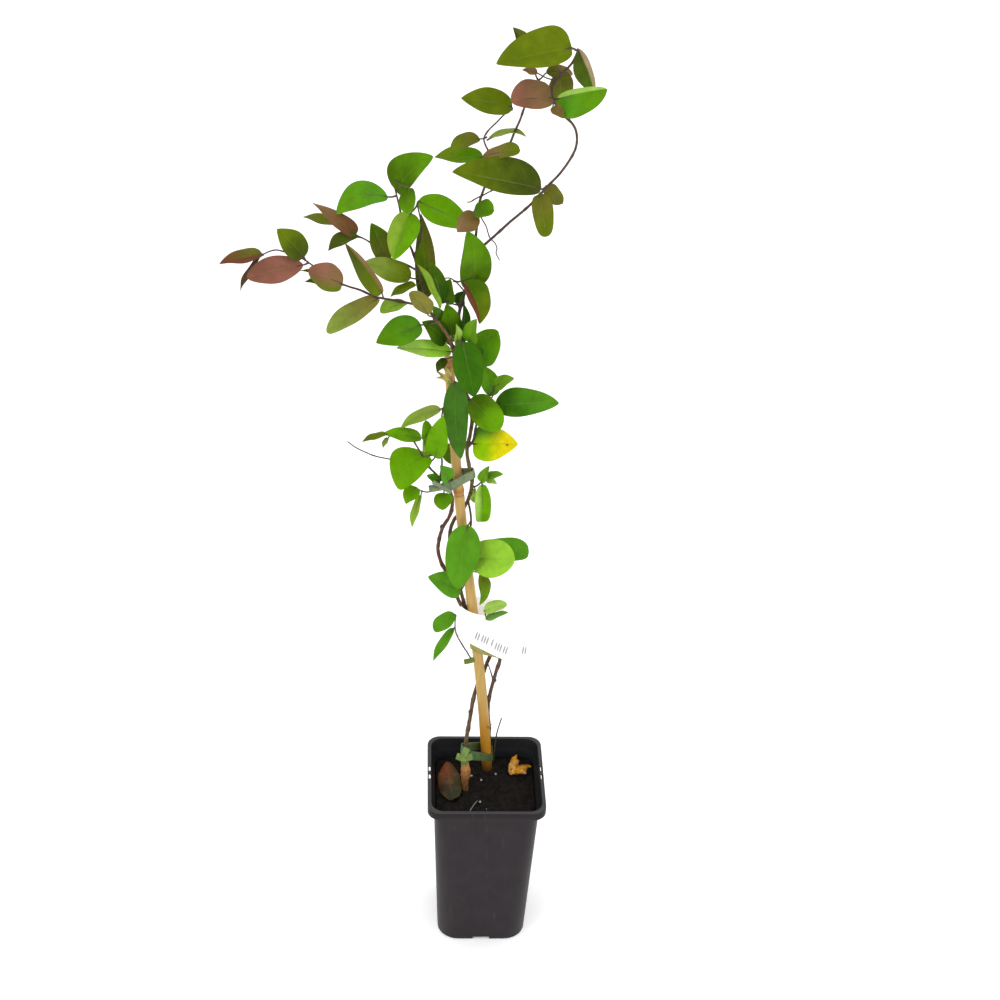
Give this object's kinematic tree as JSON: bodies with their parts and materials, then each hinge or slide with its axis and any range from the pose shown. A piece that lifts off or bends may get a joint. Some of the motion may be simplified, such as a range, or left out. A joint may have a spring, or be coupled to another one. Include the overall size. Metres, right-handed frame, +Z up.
{
  "type": "potted honeysuckle vine",
  "caption": "Young climbing honeysuckle with green and bronze leaves, tied to a bamboo cane in a tall square nursery pot.",
  "frame": {"origin": "middle of the flat underside of the pot, on the floor", "axes": "+Z up along the pot and the cane; +Y from the front, which the plant faces, to the back; +X to the right"},
  "size_m": [0.2792, 0.1343, 0.8979],
  "materials": {
    "pot_plastic": "black moulded plastic with a soft sheen",
    "compost": "dark crumbly compost",
    "bamboo": "dry bamboo with low joints",
    "bark": "thin brown bark",
    "foliage": "smooth living leaves, green to bronze",
    "tape": "soft grey-green tape",
    "label_plastic": "plain white strip with short grey bars",
    "dry_leaf": "dry curled leaf",
    "straw": "dry grass stem"
  },
  "bodies": {
    "root": {"pot": "pot_plastic", "soil": "compost", "cane": "bamboo", "stem_left": "bark", "stem_right": "bark", "shoot_head": "foliage", "shoot_crown": "foliage", "shoot_upper_left": "foliage", "shoot_left_arm": "foliage", "shoot_right": "foliage", "shoot_left": "foliage", "shoot_right_low": "foliage", "shoot_front": "foliage", "shoot_low_left": "foliage", "shoot_low_right": "foliage", "tie_lower": "tape", "tie_upper": "tape", "tie_middle": "tape", "label": "label_plastic", "dry_leaf_left": "dry_leaf", "dry_leaf_right": "dry_leaf", "straw": "straw"}
  },
  "joints": []
}
